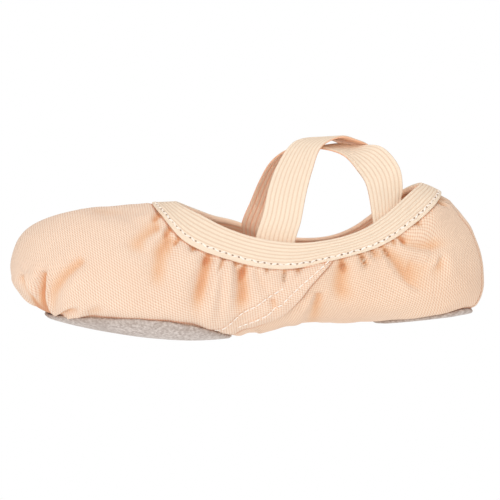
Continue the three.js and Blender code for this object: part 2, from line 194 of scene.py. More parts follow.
# Folds on the far side, in the same columns
FAR_FOLDS = [
    (5, 2.2, 0.2, 0, [(-40, 61), (-50, 58), (-58, 50)]),
    (3.4, 2.7, 0.2, 0, [(-35, 54), (-39, 47), (-41, 38), (-44, 30)]),
    (5, 2.9, -0.2, 0.2, [(-19, 44), (-22, 36), (-25, 26), (-26, 12)]),
    (2.6, 2, 0, 0, [(-9, 39), (-12, 30)]),
    (5.2, 2.5, 0.2, 0.2, [(-2, 37), (2, 28), (0, 12)]),
    (6, 2.2, 0, 0.2, [(47, 35), (45, 22), (44, 11)]),
    (3.2, 2, 0.2, 0.3, [(33, 20), (30, 11), (28, 5)]),
    (3.8, 2.4, 0.2, 0, [(63, 39), (67, 32), (72, 26), (80, 20)]),
    (2.6, 2.4, 0.3, 0, [(75, 45), (80, 40), (88, 38), (95, 39)]),
    (2.6, 2.1, 0.2, 0, [(78, 39), (84, 34), (90, 30), (88, 24)]),
    (3.6, -1.7, 0, 0.3, [(-30, 44), (-34, 29), (-35, 18)]),
    (3.8, -1.4, 0, 0.3, [(-8, 38), (-10, 16)]),
    (1.8, 2.8, 0.2, 0.8, [(-97, 47), (-100, 38), (-102, 24)]),
    (3.2, 2.3, 0.2, 0.8, [(-80, 45), (-90, 38), (-95, 24)]),
    (1.8, 2.4, 0.2, 0.8, [(-110, 46), (-109, 37), (-106, 24)]),
    (2.6, 1.8, 0, 0.4, [(-64, 36), (-68, 27), (-70, 17)]),
]

# Small gathers that the band pulls into the canvas: place along the shoe, length and half width
NEAR_GATHERS = [
    (-42.5, 4, 2), (-38, 5, 1.6), (-34, 4, 1.5), (-27.5, 2.5, 2.2), (-20.5, 5, 1.5), (-13.6, 9, 1.2),
    (-7.5, 2, 1.8), (-3.4, 8, 1.4), (7.2, 2, 1.4), (15.6, 8, 1.1), (22.4, 2, 2), (43.6, 7, 1.8),
    (53.2, 8, 1.5), (58.6, 5, 1.6),
    (64.4, 7, 1.5), (70, 2.5, 1.6), (73.4, 6, 1.3), (83, 3, 2), (96.5, 6, 1.3), (98.5, 5, 1),
]
FAR_GATHERS = [
    (-42, 4, 1.8), (-37, 5, 1.6), (-32, 4, 1.5), (-25, 3, 2), (-19, 6, 1.5), (-11, 8, 1.2), (-4, 7, 1.4),
    (3, 3, 1.6), (11, 8, 1.2), (20, 3, 1.8), (30, 3, 1.6), (46, 7, 1.7), (54, 5, 1.5), (60, 7, 1.5),
    (67, 6, 1.5), (75, 7, 1.4), (84, 4, 1.8), (95, 6, 1.3),
]

# Pleats round the toe where the canvas goes under the patch: plan angle from straight ahead, near side
# negative, and half width, both in degrees, depth, and height that they reach
TOE_PLEATS = [
    (-28, 3, 1.2, 34), (-12, 3.4, 1.3, 38), (5, 2.6, 1, 32), (20, 3.2, 1.3, 38), (36, 2.8, 1.1, 33),
    (52, 3.4, 1.3, 36), (67, 2.8, 1, 30), (82, 3.2, 1, 27), (-66, 2.8, 0.4, 25),
]
TOE_CENTRE = -76.0

# Place across the shoe of the seam down the back of the heel, and the round that the cloth follows there
HEEL_SEAM = -7.0
HEEL_CENTRE = 92.0
HEEL_HALF = 27.0

# Canvas bulges beside the band and the patches, and is creased at a patch's edge and at the heel seam
BAND_BULGE = {"at": 5, "wide": 3.5, "high": 0.6}
PATCH_BULGE = {"at": 4.5, "wide": 3.2, "forefoot": 1.4, "heel": 0.7, "beside_heel": 0.9}
PATCH_CREASE = {"at": 0.2, "wide": 1.2, "deep": 0.5}
SEAM_CREASE = {"wide": 0.9, "deep": 0.9}
# Deepest folds: over the bottom, over the sock or under the band, and elsewhere
BOTTOM_LIMIT = 0.45
HELD_LIMIT = 1.3
FREE_LIMIT = 6.0

# Slack of the far collar: middle of each sag along the shoe, its width and its depth
FAR_SLACK = [(46, 25, 3.8), (-3, 12, -2.6)]
# It grows from the centre plane to the far wall and up that wall, and ends part way up the straps
SLACK_ACROSS = (0, 18)
SLACK_UP = (16, 40)
SLACK_END = (56, 82)

# Low waves of the cloth: length of the wave, height, direction and phase
CLOTH_WAVES = [
    (41, 0.22, (0.8, 0.5, 0.3), 0.4), (29, 0.18, (-0.4, 0.6, 0.7), 1.9),
    (23, 0.14, (0.6, -0.3, 0.74), 3.1), (17, 0.10, (0.2, 0.9, -0.4), 4.6),
    (12, 0.07, (0.75, 0.1, -0.65), 0.9), (9, 0.05, (-0.5, 0.4, 0.77), 2.4),
]

# Lamps: name, place and height aimed at in metres, width in metres, and watts
LAMPS = [
    ("key", (-0.7, -1.0, 1.4), 0.04, 0.9, 6.2),
    ("front", (-0.6, -1.6, 0.45), 0.05, 0.9, 8.6),
    ("fill", (1.2, -1.0, 0.6), 0.04, 1.2, 3.2),
    ("top", (0.1, 0.5, 1.5), 0.04, 1.2, 4.6),
]
WORLD_LIGHT = 0.52
FLOOR_HALF = 6.0
FLOOR_DROP = 0.0003
DOME_RADIUS = 8.0

# Camera: turn round the shoe, rise and roll in degrees, distance and place aimed at in metres, and the pixels
# of the picture with the millimetres of one
CAMERA_TURNS = (-3.5, 5.2, 4.9)
CAMERA_DISTANCE = 1.1
CAMERA_AIM = (0.0015, 0, 0.0421)
SENSOR = 36.0
PICTURE = 500
PIXEL = 0.5

AT, BOTTOM, TOP, HALF = range(4)
END = len(LAST) - 1


def turned_over(row):
    """Section past a tip of the last, which carries the spline round the tip."""
    turned = row.copy()
    turned[[BOTTOM, TOP]] = row[[TOP, BOTTOM]]
    turned[HALF] = -row[HALF]
    return turned


LAST_ROWS = np.vstack([turned_over(LAST[1]), LAST, turned_over(LAST[-2])])


def spline(a, b, c, d, f):
    """Catmull-Rom value between b and c."""
    slope_b = (c - a) / 2
    slope_c = (d - b) / 2
    bend = 2 * (b - c) + slope_b + slope_c
    return b + f * (slope_b + f * (3 * (c - b) - 2 * slope_b - slope_c + f * bend))


def spans(rows, place):
    """The four rows round each place, and the share passed between the middle two. Row 1 is place 0."""
    first = np.clip(np.floor(place).astype(int), 0, len(rows) - 4)
    return *(rows[first + k] for k in range(4)), (place - first)[..., None]


def section(row):
    """Section of the last at row numbers that may lie between rows, one column per value."""
    return np.moveaxis(spline(*spans(LAST_ROWS, np.asarray(row, float))), -1, 0)


def last_point(row, swing):
    """Point of the last: swing 0 is the middle of the bottom, positive the far side, half a turn the top."""
    at, bottom, top, half, widest, low, high = section(row)
    across = np.sin(swing)
    up = -np.cos(swing)
    power = np.where(up < 0, low, high)
    r = (np.abs(across) ** power + np.abs(up) ** power) ** (-1 / power)
    height = np.where(up < 0, widest - bottom, top - widest)
    return np.stack([at - LENGTH / 2 + 0 * r, half * r * across, widest + height * r * up], -1)


def unit(v):
    return v / np.maximum(np.linalg.norm(v, axis=-1, keepdims=True), 1e-12)


def last_normal(row, swing):
    step = 0.01
    along = last_point(np.minimum(row + step, END), swing) - last_point(np.maximum(row - step, 0), swing)
    round_ = last_point(row, swing + step) - last_point(row, swing - step)
    return unit(np.cross(round_, along))


def surface(row, swing):
    """Points of the last and the directions out of it."""
    return last_point(row, swing), last_normal(row, swing)


ROW_STEPS = np.linspace(0, END, 4001)
ROW_X = section(ROW_STEPS)[AT] - LENGTH / 2


def row_at(x):
    return np.interp(x, ROW_X, ROW_STEPS)


def wall_swing(x, z, side):
    """Row and swing of the last's wall at a side-view place."""
    row = row_at(x)
    _, bottom, top, _, widest, low, high = section(row)
    above = z > widest
    share = np.clip(np.where(above, (z - widest) / (top - widest), (z - widest) / (widest - bottom)), -1, 1)
    power = np.where(above, high, low)
    across = np.maximum(1 - np.abs(share) ** power, 0) ** (1 / power)
    return row, np.arctan2(side * across, -share)


def wall(x, z, side, out):
    """Point at a distance out from the last's wall at a side-view place."""
    base, normal = surface(*wall_swing(np.asarray(x, float), np.asarray(z, float), side))
    return base + np.asarray(out)[..., None] * normal


def floor_swing(x, y):
    """Row and swing of the last's bottom at a plan place."""
    row = row_at(x)
    _, _, _, half, _, low, _ = section(row)
    share = np.clip(y / np.maximum(half, 1e-6), -1, 1)
    down = np.maximum(1 - np.abs(share) ** low, 0) ** (1 / low)
    return row, np.arctan2(share, down)


def smooth(value, low, high):
    t = np.clip((value - low) / (high - low), 0, 1)
    return t * t * (3 - 2 * t)


def bell(value, wide):
    """Bell curve of height 1 and a half width."""
    return np.exp(-((value / wide) ** 2))


def along_line(points):
    """Distances along a line of points."""
    steps = np.linalg.norm(np.diff(points, axis=0), axis=1)
    return np.concatenate([[0], np.cumsum(steps)])


def curve_through(points, steps):
    """Smooth line through points, with steps per span."""
    points = np.asarray(points, float)
    rows = np.vstack([points[0], points, points[-1]])
    t = np.linspace(0, len(points) - 1, steps * (len(points) - 1) + 1)
    return spline(*spans(rows, t))


def to_line(points, line):
    """Distance of each point from a line in a plane, how far to its left, -1 to 1, and the share of its
    length passed."""
    s = along_line(line)
    best = np.full(len(points), 1e9)
    side = np.zeros(len(points))
    share = np.zeros(len(points))
    for i in range(len(line) - 1):
        edge = line[i + 1] - line[i]
        size = edge @ edge
        rel = points - line[i]
        t = np.clip(rel @ edge / size, 0, 1)
        gap = rel - t[:, None] * edge
        d = np.hypot(gap[:, 0], gap[:, 1])
        closer = d < best
        best = np.where(closer, d, best)
        left = (edge[0] * rel[:, 1] - edge[1] * rel[:, 0]) / math.sqrt(size)
        side = np.where(closer, left / np.maximum(d, 1e-6), side)
        share = np.where(closer, (s[i] + t * math.sqrt(size)) / s[-1], share)
    return best, np.clip(side, -1, 1), share


def even_line(points, count):
    """Smooth line through points, evenly spaced."""
    line = curve_through(points, 40)
    s = along_line(line)
    t = np.linspace(0, s[-1], count)
    return np.stack([np.interp(t, s, column) for column in line.T], -1)


LINE_POINTS = 600
COLLAR_FINE = even_line(COLLAR, LINE_POINTS)
FOOT_FINE = even_line(BAND_FOOT, LINE_POINTS)


def band_line(share):
    """Side-view line across the band, 0 at its top edge and 1 at its foot."""
    return COLLAR_FINE + share * (FOOT_FINE - COLLAR_FINE)


def band_place(share, index):
    """Side-view places on a line of the band, at shares of its own length."""
    line = band_line(share)
    steps = np.linspace(0, 1, len(line))
    return np.interp(index, steps, line[:, 0]), np.interp(index, steps, line[:, 1])


def band_ends(share):
    """Shares of the line's length where it meets the top of the last."""
    index = np.linspace(0, 1, 8001)
    x, z = band_place(share, index)
    inside = z < section(row_at(x))[TOP] - 1e-6
    picked = index[inside]
    return picked[0], picked[-1]


def band_path(share, count):
    """Shares of the line's length evenly spaced along the near wall, from the throat to the heel."""
    first, last = band_ends(share)
    t = first + (last - first) * (1 - np.cos(np.linspace(0, math.pi, 3000))) / 2
    x, z = band_place(share, t)
    s = along_line(wall(x, z, -1, np.zeros_like(x)))
    return np.interp(np.linspace(0, s[-1], count), s, t)


def side_places(points):
    """Side-view places of points."""
    return points.reshape(-1, 3)[:, [0, 2]]


def below_band(points):
    """Distance below the band's foot at side-view places, negative above it."""
    distance, side, _ = to_line(points, FOOT_FINE[::6])
    return -np.sign(side) * distance


# Meshes


def far_slack(points):
    """Points of the shoe with the slack of the far collar, which sags or stands a little between its ends."""
    x, y, z = points.T
    drop = sum(deep * bell(x - middle, wide) for middle, wide, deep in FAR_SLACK)
    drop *= smooth(y, *SLACK_ACROSS) * smooth(z, *SLACK_UP) * (1 - smooth(z, *SLACK_END))
    return points - drop[:, None] * np.array([0, 0, 1])


def add(name, data):
    """Object of a mesh, lamp or camera, put in the scene."""
    made = bpy.data.objects.new(name, data)
    bpy.context.scene.collection.objects.link(made)
    return made


def link(name, points, faces, material, uv=None, values=None, join=0.0):
    """Closed mesh from points in millimetres, with points nearer than join made one."""
    mesh = bpy.data.meshes.new(name)
    faces = [[int(v) for v in face] for face in faces]
    mesh.from_pydata((far_slack(np.asarray(points, float)) * MM).tolist(), [], faces)
    if uv is not None:
        corner = np.zeros(len(mesh.loops), int)
        mesh.loops.foreach_get("vertex_index", corner)
        layer = mesh.uv_layers.new(name="UVMap")
        layer.data.foreach_set("uv", np.asarray(uv)[corner].astype(np.float32).ravel())
    for key, value in (values or {}).items():
        attribute = mesh.attributes.new(key, "FLOAT", "POINT")
        attribute.data.foreach_set("value", np.asarray(value).astype(np.float32))
    work = bmesh.new()
    work.from_mesh(mesh)
    if join:
        bmesh.ops.remove_doubles(work, verts=work.verts, dist=join * MM)
    bmesh.ops.recalc_face_normals(work, faces=work.faces)
    work.to_mesh(mesh)
    work.free()
    mesh.polygons.foreach_set("use_smooth", np.ones(len(mesh.polygons), bool))
    mesh.materials.append(material)
    mesh.update()
    made = add(name, mesh)
    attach(made, "root")
    return made


def grid_faces(index, flip=False):
    """Quads of a grid of vertex numbers."""
    a = index[:-1, :-1].ravel()
    b = index[:-1, 1:].ravel()
    c = index[1:, 1:].ravel()
    d = index[1:, :-1].ravel()
    quads = np.stack([a, d, c, b] if flip else [a, b, c, d], -1)
    return quads.tolist()


def rim(outer, inner, welded):
    """Triangles between a fine edge and a half as fine one, without those that lie wholly in a weld."""
    faces = []
    for k in range(len(inner) - 1):
        a, b, c = outer[2 * k], outer[2 * k + 1], outer[2 * k + 2]
        d, e = inner[k], inner[k + 1]
        for face in ((a, b, d), (b, c, e), (b, e, d)):
            if not all(v in welded for v in face):
                faces.append(face)
    return faces


def shell(name, base, out, normals, uv, fold, line, closed, at_toe, material):
    """Closed cloth at distances out from a grid of stations and places round, its inner face half as fine.
    Stations marked closed have their two ends joined, and a pole closes the station at the tip."""
    outer = base + out[..., None] * normals
    outer[..., 2] = np.maximum(outer[..., 2], CLOTH_FLOOR)
    coarse = (slice(None, None, 2), slice(None, None, 2))
    inner = outer[coarse] - CANVAS_THICK * normals[coarse]
    index = np.arange(out.size).reshape(out.shape)
    inner_index = out.size + np.arange(out[coarse].size).reshape(inner.shape[:2])
    inner_closed = closed[::2]
    index[closed, -1] = index[closed, 0]
    inner_index[inner_closed, -1] = inner_index[inner_closed, 0]
    pole = last_point(np.array(0.0 if at_toe else float(END)), np.array(0.0))
    inward = (CANVAS_THICK if at_toe else -CANVAS_THICK, 0, 0)
    points = np.vstack([outer.reshape(-1, 3), inner.reshape(-1, 3), pole, pole + inward])
    uv_all = np.vstack([uv.reshape(-1, 2), uv[coarse].reshape(-1, 2), uv[0, :1], uv[0, :1]])
    fold_all = np.concatenate([fold.ravel(), fold[coarse].ravel(), [0, 0]])
    line_all = np.concatenate([line.ravel(), line[coarse].ravel(), [9, 9]])
    tip, edge = (0, -1) if at_toe else (-1, 0)
    faces = grid_faces(index) + grid_faces(inner_index, True)
    for ring, centre in ((index[tip], len(points) - 2), (inner_index[tip], len(points) - 1)):
        faces += [(centre, ring[j], ring[j + 1]) for j in range(len(ring) - 1)]
    welded = set(index[closed, 0].tolist()) | set(inner_index[inner_closed, 0].tolist())
    for column in (0, -1):
        faces += rim(index[:, column].tolist(), inner_index[:, column].tolist(), welded)
    faces += rim(index[edge].tolist(), inner_index[edge].tolist(), set())
    used = np.zeros(len(points), bool)
    for face in faces:
        used[list(face)] = True
    place = np.cumsum(used) - 1
    faces = [[place[v] for v in face] for face in faces]
    # Attributes that set the canvas's painted shade in its folds and along its lines
    values = {"fold": fold_all[used], "line": line_all[used]}
    return link(name, points[used], faces, material, uv_all[used], values, 0.02)


def stitch_row(line, normal, places, reach):
    """Middle, direction and outward direction of a stitch at each distance along a line of points."""
    k = np.searchsorted(along_line(line), places)
    ahead = line[np.minimum(k + reach, len(line) - 1)]
    return line[k], unit(ahead - line[np.maximum(k - reach, 0)]), normal[k]


def tubes(name, centres, along, out, length, radius, material, flat=0.8):
    """Many short rounded stitches as one mesh."""
    sides = 6
    profile = [(-0.5, 0.35), (-0.38, 0.85), (-0.15, 1.0), (0.15, 1.0), (0.38, 0.85), (0.5, 0.35)]
    angle = np.arange(sides) / sides * 2 * math.pi
    points = []
    faces = []
    side = unit(np.cross(along, out))
    lift = unit(np.cross(side, along))
    for centre, a, s, n in zip(centres, along, side, lift):
        base = len(points)
        for at, wide in profile:
            ring = centre + a * at * length + radius * wide * (
                np.cos(angle)[:, None] * s + flat * np.sin(angle)[:, None] * n)
            points.extend(ring.tolist())
        for i in range(len(profile) - 1):
            for j in range(sides):
                k = (j + 1) % sides
                low = base + i * sides
                faces.append((low + j, low + k, low + sides + k, low + sides + j))
        faces.append(tuple(base + j for j in range(sides)))
        faces.append(tuple(base + (len(profile) - 1) * sides + j for j in range(sides)))
    return link(name, points, faces, material)


# Materials


def linear(r, g, b):
    """Scene colour of a screen colour given in 0 to 255."""
    values = [c / 255 for c in (r, g, b)]
    return [c / 12.92 if c <= 0.04045 else ((c + 0.055) / 1.055) ** 2.4 for c in values] + [1.0]


class Shader:
    def __init__(self, name, roughness):
        self.material = bpy.data.materials.new(name)
        self.material.use_nodes = True
        self.tree = self.material.node_tree
        self.surface = self.tree.nodes["Principled BSDF"]
        self.surface.inputs["Roughness"].default_value = roughness
        self.surface.inputs["Specular IOR Level"].default_value = 0.25

    def node(self, kind, **settings):
        made = self.tree.nodes.new("ShaderNode" + kind)
        for key, value in settings.items():
            setattr(made, key, value)
        return made

    def join(self, source, target):
        self.tree.links.new(source, target)

    def put(self, socket, value):
        if hasattr(value, "is_output"):
            self.join(value, socket)
        else:
            socket.default_value = value

    def math(self, operation, a, b=0.0):
        made = self.node("Math", operation=operation)
        self.put(made.inputs[0], a)
        self.put(made.inputs[1], b)
        return made.outputs[0]

    def times(self, a, b):
        return self.math("MULTIPLY", a, b)

    def plus(self, a, b):
        return self.math("ADD", a, b)

    def rest(self, a):
        return self.math("SUBTRACT", 1.0, a)

    def mix(self, factor, a, b):
        made = self.node("Mix", data_type="RGBA")
        self.put(made.inputs[0], factor)
        self.put(made.inputs[6], a)
        self.put(made.inputs[7], b)
        return made.outputs[2]

    def tint(self, colour, amount, share, other):
        """Colour mixed with another by a share of an amount."""
        return self.mix(self.times(amount, share), colour, other)

    def attribute(self, name):
        return self.node("Attribute", attribute_name=name).outputs["Fac"]

    def lengths(self):
        """Lengths along and round the cloth."""
        split = self.node("SeparateXYZ")
        self.join(self.node("UVMap").outputs[0], split.inputs[0])
        return split.outputs[0], split.outputs[1]

    def threads(self, value, pitch):
        """Rounded threads, one to each pitch."""
        return self.math("ABSOLUTE", self.math("SINE", self.times(value, math.pi / pitch)))

    def noise(self, scale, detail):
        made = self.node("TexNoise")
        made.inputs["Scale"].default_value = scale
        made.inputs["Detail"].default_value = detail
        self.join(self.node("TexCoord").outputs["Object"], made.inputs["Vector"])
        return made.outputs["Fac"]

    def ramp(self, value, low, high):
        made = self.node("MapRange", interpolation_type="SMOOTHSTEP")
        self.put(made.inputs["Value"], value)
        made.inputs["From Min"].default_value = low
        made.inputs["From Max"].default_value = high
        return made.outputs["Result"]

    def finish(self, colour, height, distance):
        """Colour of the surface, and bumps of a height in millimetres."""
        made = self.node("Bump")
        made.inputs["Strength"].default_value = 1.0
        made.inputs["Distance"].default_value = distance * MM
        self.join(height, made.inputs["Height"])
        self.join(made.outputs["Normal"], self.surface.inputs["Normal"])
        self.join(colour, self.surface.inputs["Base Color"])
        return self.material


def canvas_material(name, turns, light, dark, fold, deep):
    """Plain-weave canvas: each set of threads lies square to a direction in the cloth's own lengths. Folds and
    gathers get painted shade in warm orange, and lines along the band's foot, the patches' edges and the seams
    get painted shade in dark orange.
    """
    s = Shader(name, 0.92)
    u, v = s.lengths()
    wobble = s.times(s.noise(120, 2.0), 0.5)
    sets = []
    for turn in turns:
        a, b = math.cos(math.radians(turn)), math.sin(math.radians(turn))
        along = s.plus(s.times(u, a), s.times(v, b))
        sets.append(s.math("POWER", s.threads(s.plus(along, wobble), WEAVE_PITCH), 0.8))
    weave = s.times(s.plus(sets[0], sets[1]), 0.5)
    slub = s.noise(900, 2.0)
    broad = s.noise(28, 3.0)
    depth = s.attribute("fold")
    shade = s.rest(s.ramp(s.attribute("line"), 0.1, 0.75))
    colour = s.tint(light, s.rest(weave), 1.1, dark)
    colour = s.tint(colour, s.ramp(broad, 0.45, 0.75), 0.12, dark)
    # Painted shade: the deeper a fold or gather, the more orange the canvas, and the deepest parts dark orange
    colour = s.tint(colour, s.ramp(depth, 0.2, 3.0), 0.45, fold)
    colour = s.tint(colour, s.ramp(depth, 1.7, 4.2), 0.5, deep)
    # Painted shade in dark orange along the band's foot, the patches' edges and the seams
    colour = s.tint(colour, shade, 0.5, deep)
    s.surface.inputs["Sheen Weight"].default_value = 0.08
    return s.finish(colour, s.plus(weave, s.times(slub, 0.5)), 0.2)


def elastic_material(name, light, dark, inside_painted_light, inside_groove_painted_light):
    """Knitted elastic: the ribs are in the shape, and fine cross threads are in the bump. The ribs' grooves
    get painted shade, and the inner faces get painted light, brighter and warmer than the outside.
    """
    s = Shader(name, 0.72)
    u, v = s.lengths()
    knit = s.times(s.threads(u, KNIT_LONG), s.threads(v, KNIT_WIDE))
    groove = s.attribute("fold")
    colour = s.tint(light, s.rest(knit), 0.16, dark)
    # Painted shade in the ribs' grooves
    colour = s.tint(colour, groove, 0.55, dark)
    # Painted light: the inner faces are brighter and warmer, standing in for light through the thin elastic,
    # and darker in their grooves
    colour = s.mix(s.attribute("inside"), colour, s.mix(groove, inside_painted_light, inside_groove_painted_light))
    return s.finish(colour, s.plus(knit, s.noise(1400, 2.0)), 0.08)


def suede_material(name, light, dark, stain):
    """Napped suede, uneven and a little stained, and darker towards its edge."""
    s = Shader(name, 0.95)
    nap = s.noise(700, 4.0)
    broad = s.noise(60, 4.0)
    darkening = s.noise(24, 3.0)
    colour = s.mix(s.ramp(nap, 0.3, 0.7), dark, light)
    colour = s.tint(colour, s.ramp(broad, 0.45, 0.7), 0.5, dark)
    colour = s.tint(colour, s.ramp(darkening, 0.55, 0.75), 0.35, stain)
    colour = s.tint(colour, s.attribute("fold"), 0.25, stain)
    s.surface.inputs["Sheen Weight"].default_value = 0.15
    return s.finish(colour, s.plus(nap, broad), 0.3)


def thread_material(name, light, dark):
    """Twisted thread, a little uneven in colour."""
    s = Shader(name, 0.8)
    fibre = s.noise(900, 3.0)
    return s.finish(s.mix(s.ramp(fibre, 0.35, 0.75), light, dark), fibre, 0.1)


PEACH = linear(247, 226, 206)
PEACH_DARK = linear(222, 170, 134)
# Painted shade colours for the canvas's folds and gathers; the second also darkens its shaded lines
PEACH_PAINTED_FOLD_SHADE = linear(228, 160, 92)
PEACH_PAINTED_DEEP_SHADE = linear(198, 102, 30)
FRONT_CANVAS = canvas_material("front_canvas", (2, 82), PEACH, PEACH_DARK, PEACH_PAINTED_FOLD_SHADE, PEACH_PAINTED_DEEP_SHADE)
REAR_CANVAS = canvas_material(
    "rear_canvas", (-13, 46), linear(248, 224, 200), linear(222, 170, 135), PEACH_PAINTED_FOLD_SHADE, PEACH_PAINTED_DEEP_SHADE)
# Elastic colours: the outside, the outside in grooves, then the painted light of the inner faces, plain and in
# grooves
ELASTIC = elastic_material(
    "elastic", linear(249, 230, 207), linear(216, 174, 140), linear(255, 220, 192), linear(255, 190, 152))
SUEDE = suede_material("suede", linear(220, 208, 200), linear(172, 156, 147), linear(158, 136, 120))
SOCK_CLOTH = suede_material("sock_cloth", linear(252, 232, 212), linear(236, 208, 182), linear(226, 190, 160))
THREAD = thread_material("thread", linear(255, 246, 236), linear(246, 226, 208))
# Painted shade: dark marks standing for the shade in the needle holes
NEEDLE_HOLE_PAINTED_SHADE = thread_material("needle_hole_painted_shade", linear(178, 148, 128), linear(140, 108, 88))


# Canvas


def fold_shape(points, rows, side_share):
    """Depth of the listed folds at side-view places. A fold is narrow where its line starts."""
    total = np.zeros(len(points))
    for wide, deep, lean, tail, line in rows:
        d, side, share = to_line(points, curve_through(line, 4))
        width = wide * (1 + lean * side) * (0.85 + 0.6 * share)
        taper = smooth(share, -0.05, 0.1) * (1 - (1 - tail) * smooth(share, 0.55, 1.02))
        shoulder = 0.3 * bell(d - 2.1 * width, 1.1 * width)
        total += deep * taper * (bell(d, width) - shoulder)
    return total * side_share


def gather_shape(points, rows, side_share, below):
    """Depth of the small gathers just under the band."""
    total = np.zeros(len(points))
    down = unit(FOOT_FINE - COLLAR_FINE)
    for x, length, wide in rows:
        k = int(np.argmin(np.abs(FOOT_FINE[:, 0] - x) + 1000 * (FOOT_FINE[:, 1] > 66)))
        d, _, share = to_line(points, np.array([FOOT_FINE[k] - 4 * down[k], FOOT_FINE[k] + length * down[k]]))
        reach = 1 - smooth(below, 0.4 * length, length + 2)
        total += bell(d, wide * (1.1 - 0.5 * share)) * reach
    return 2.1 * np.minimum(total, 1.2) * side_share


def egg_place(points, outline):
    """Distance outside a plan outline, negative inside."""
    front, wide, rear, half, front_power, rear_power = outline
    x, y = points[:, 0], points[:, 1]
    ahead = x < wide
    length = np.where(ahead, wide - front, rear - wide)
    power = np.where(ahead, front_power, rear_power)
    a = np.abs((x - wide) / length)
    b = np.abs(y / half)
    level = (a ** power + b ** power) ** (1 / power)
    slope = np.hypot(
        (a / np.maximum(level, 1e-6)) ** (power - 1) / length,
        (b / np.maximum(level, 1e-6)) ** (power - 1) / half)
    return (level - 1) / np.maximum(slope, 1e-6)


def cloth_depth(base):
    """Depth of the cloth under the last at points of the last, how folded it is there, which sets the painted
    shade in the folds, and the distance from the nearest edge of the band or of a patch, which sets painted
    shade lines."""
    points = base.reshape(-1, 3)
    x, y, z = points.T
    side_view = side_places(base)
    near = 1 - smooth(y, -8, 4)
    below = below_band(side_view)
    free = smooth(below, -1.5, 2.5)
    low = 1 - smooth(z, 22, 36)
    depth = fold_shape(side_view, NEAR_FOLDS, near) + fold_shape(side_view, FAR_FOLDS, 1 - near)
    folded = depth.copy()
    for length, height, direction, phase in CLOTH_WAVES:
        depth += height * np.sin(points @ np.array(direction) * 2 * math.pi / length + phase)
    angle = np.degrees(np.arctan2(y, TOE_CENTRE - x))
    for place, wide, deep, reach in TOE_PLEATS:
        level = (1 - smooth(z, reach * 0.5, reach + 8)) * (1 - smooth(x, TOE_CENTRE, TOE_CENTRE + 16))
        pleat = deep * level * bell(angle - place, wide)
        depth += pleat
        folded += pleat
    depth -= BAND_BULGE["high"] * bell(below - BAND_BULGE["at"], BAND_BULGE["wide"]) * smooth(x, -50, -40)
    fore = egg_place(points, FOREFOOT_PATCH)
    back = egg_place(points, HEEL_PATCH)
    beside_heel = smooth(x, 66, 80) * (1 - smooth(x, 92, 104))
    heel_high = PATCH_BULGE["heel"] + PATCH_BULGE["beside_heel"] * beside_heel
    for gap, high in ((fore, PATCH_BULGE["forefoot"]), (back, heel_high)):
        depth -= low * high * bell(gap - PATCH_BULGE["at"], PATCH_BULGE["wide"])
        depth += low * PATCH_CREASE["deep"] * bell(gap - PATCH_CREASE["at"], PATCH_CREASE["wide"])
    from_seam = np.abs(y - HEEL_SEAM) + 6 * (1 - smooth(x, 101, 107))
    depth += SEAM_CREASE["deep"] * bell(from_seam, SEAM_CREASE["wide"])
    depth *= free
    gathers = gather_shape(side_view, NEAR_GATHERS, near, below)
    gathers += gather_shape(side_view, FAR_GATHERS, 1 - near, below)
    depth += gathers
    limit = BOTTOM_LIMIT + 5 * smooth(z - section(row_at(x))[BOTTOM], 4, 15)
    off_sock = smooth(egg_place(points, SOCK), 0.5, 4) + 1 - low
    limit = np.minimum(limit, HELD_LIMIT + FREE_LIMIT * off_sock)
    limit = np.minimum(limit, HELD_LIMIT + FREE_LIMIT * smooth(below, 0.5, 3))
    ridge_limit = np.where(x > 24, limit + 1.2 * beside_heel, FREE_LIMIT)
    limit = np.where(depth > 0, limit, ridge_limit)
    depth = limit * np.tanh(depth / limit)
    under = low * smooth(np.maximum(-fore, -back), 0.5, 3)
    depth = depth * (1 - under) + 0.2 * under
    # Share of painted shade in the canvas: the folds, the gathers more strongly, none under the patches
    folded = np.maximum(folded * free + 1.4 * gathers, 0) * (1 - under)
    # Distance for the painted shade lines under the band's foot, at the patches' edges and at the heel seam
    line = np.minimum(np.abs(below - 0.2), np.minimum(np.abs(fore), np.abs(back)) + 3 * (1 - low))
    line = np.minimum(line, 0.7 * from_seam)
    return [field.reshape(base.shape[:-1]) for field in (depth, folded, line)]


THROAT_SHARE, HEEL_SHARE = band_ends(CANVAS_TOP)
THROAT_ROW = float(row_at(band_place(CANVAS_TOP, THROAT_SHARE)[0]))
HEEL_ROW = float(row_at(band_place(CANVAS_TOP, HEEL_SHARE)[0]))


def edge_swing(row):
    """Swing of the canvas's top edge at row numbers, half a turn where the canvas is closed."""
    line_share = np.linspace(THROAT_SHARE, HEEL_SHARE, 6000)
    x, z = band_place(CANVAS_TOP, line_share)
    row_line, swing = wall_swing(x, z, 1)
    made = np.interp(row, row_line, swing)
    return np.where((row <= THROAT_ROW) | (row >= HEEL_ROW), math.pi, made)


def panel_swing(rows, w):
    """Swing of each place round the shoe, held at the canvas's top edge."""
    return np.sign(w) * np.minimum(np.abs(w) * math.pi, edge_swing(rows))


def seam_row(w, shift):
    """Row number where each place round meets the arch seam moved along the shoe."""
    rows = np.linspace(3, END - 3, 3000)
    made = []
    for place in w:
        p = last_point(rows, panel_swing(rows, place))
        past = p[:, 0] - np.interp(p[:, 2], ARCH_SEAM[:, 1], ARCH_SEAM[:, 0]) - shift
        k = int(np.argmax(past > 0))
        share = past[k - 1] / (past[k - 1] - past[k])
        made.append(rows[k - 1] + share * (rows[k] - rows[k - 1]))
    return np.array(made)


